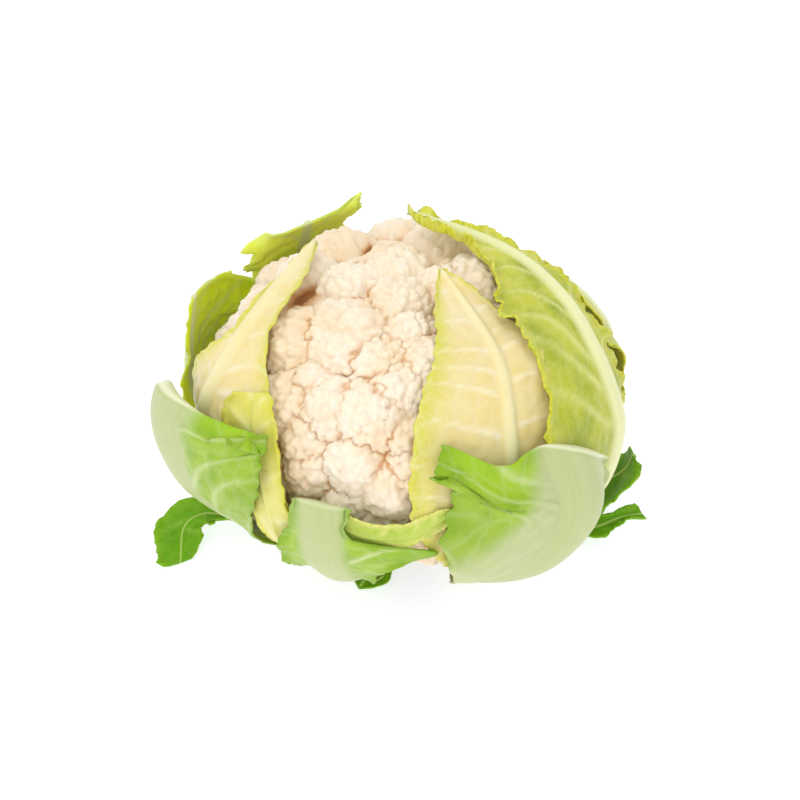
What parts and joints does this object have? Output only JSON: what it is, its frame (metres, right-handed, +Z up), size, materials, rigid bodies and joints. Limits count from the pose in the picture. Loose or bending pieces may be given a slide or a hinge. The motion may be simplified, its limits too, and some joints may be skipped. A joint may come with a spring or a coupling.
{
  "type": "cauliflower",
  "caption": "Trimmed cauliflower head standing on its cut stalk: a round floreted curd wrapped by pale inner leaves, green outer leaves and cut leaf stubs.",
  "frame": {"origin": "centre of the cut face of the stalk that the head stands on", "axes": "+Z up through the curd, -Y towards the open front of the head, +X to its right seen from the front"},
  "size_m": [0.2242, 0.2016, 0.1441],
  "materials": {
    "curd": "matt cream florets",
    "stalk": "pale cut stalk, slightly moist",
    "inner": "thin pale yellow leaf with cream ribs, soft sheen",
    "outer": "yellow-green leaf with pale ribs, soft sheen",
    "trimmed": "thick pale green leaf stalk with a cut end, waxy sheen",
    "low": "deeper green leaf, waxy sheen"
  },
  "bodies": {
    "root": {"curd": "curd", "stalk": "stalk", "leaf_inner_left": "inner", "leaf_inner_right": "inner", "leaf_inner_front": "inner", "leaf_inner_back": "inner", "leaf_small_left": "inner", "leaf_outer_right": "outer", "leaf_back_right": "outer", "leaf_outer_left": "low", "leaf_back_left": "low", "leaf_trimmed_front": "trimmed", "leaf_trimmed_left": "trimmed", "leaf_trimmed_right": "trimmed", "leaf_low_left": "low", "leaf_low_right": "low", "leaf_low_right_tip": "low", "leaf_low_front": "low", "leaf_trimmed_back": "trimmed", "leaf_trimmed_back_left": "trimmed", "leaf_trimmed_back_right": "trimmed"}
  },
  "joints": []
}
